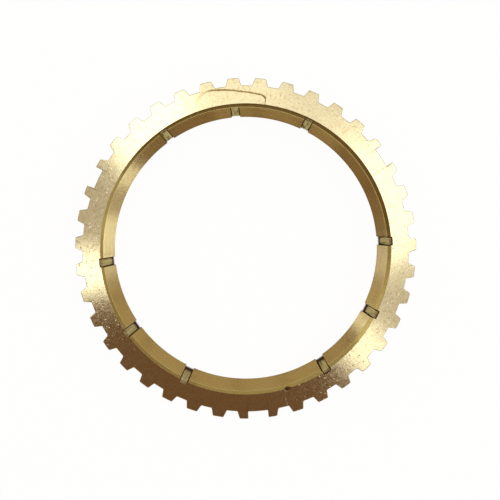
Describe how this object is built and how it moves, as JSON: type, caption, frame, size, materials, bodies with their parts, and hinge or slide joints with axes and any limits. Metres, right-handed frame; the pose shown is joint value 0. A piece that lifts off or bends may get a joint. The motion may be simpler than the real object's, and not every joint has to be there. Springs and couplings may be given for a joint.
{
  "type": "synchronizer ring",
  "caption": "Brass synchronizer ring with pointed dog teeth round its flange, a conical friction bore with oil grooves and a collar with key slots, for a manual gearbox.",
  "frame": {"origin": "on the ring's axis, in the plane of the collar's end that it rests on", "axes": "+Z along the axis towards the toothed face, -Y through the middle of a key slot and the widened tooth gap above it"},
  "size_m": [0.1, 0.0999, 0.011],
  "materials": {
    "brass": "satin, turned on the cone and fine-blasted on the face"
  },
  "bodies": {
    "root": {"synchronizer_ring": "brass"}
  },
  "joints": []
}
